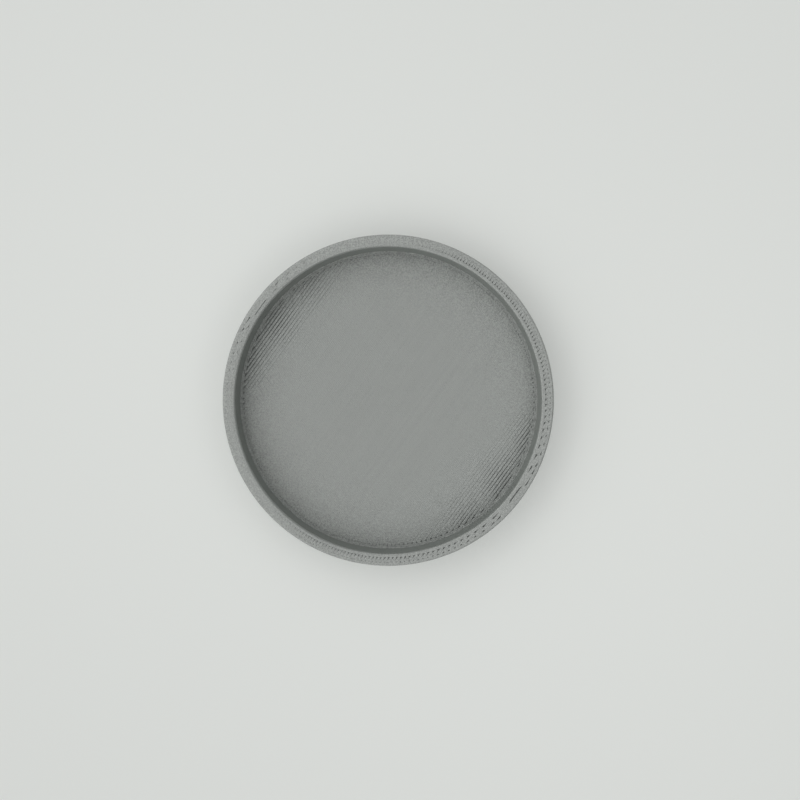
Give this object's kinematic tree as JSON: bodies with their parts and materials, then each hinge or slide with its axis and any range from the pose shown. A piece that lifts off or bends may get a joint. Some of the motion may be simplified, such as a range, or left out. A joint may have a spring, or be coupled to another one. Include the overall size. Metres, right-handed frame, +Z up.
{
  "type": "key tray",
  "caption": "Shallow round dish with a plumb wall and a flat floor, printed in plastic, on rubber feet stuck in seats under its floor.",
  "frame": {"origin": "centre of the tray on the surface that its feet stand on", "axes": "+Z up along the tray's axis; +X to the right and +Y to the top of the reference view, which looks straight down"},
  "size_m": [0.082, 0.082, 0.011],
  "materials": {
    "grey_plastic": "printed in strands, neutral grey with a faint green cast, half gloss on each strand",
    "black_rubber": "moulded, matt",
    "tape_foam": "thin white foam tape, matt"
  },
  "bodies": {
    "root": {"tray_dish": "grey_plastic", "foot_rear_right": "black_rubber", "foot_rear_left": "black_rubber", "foot_front_left": "black_rubber", "foot_front_right": "black_rubber", "tape_rear_right": "tape_foam", "tape_rear_left": "tape_foam", "tape_front_left": "tape_foam", "tape_front_right": "tape_foam"}
  },
  "joints": []
}
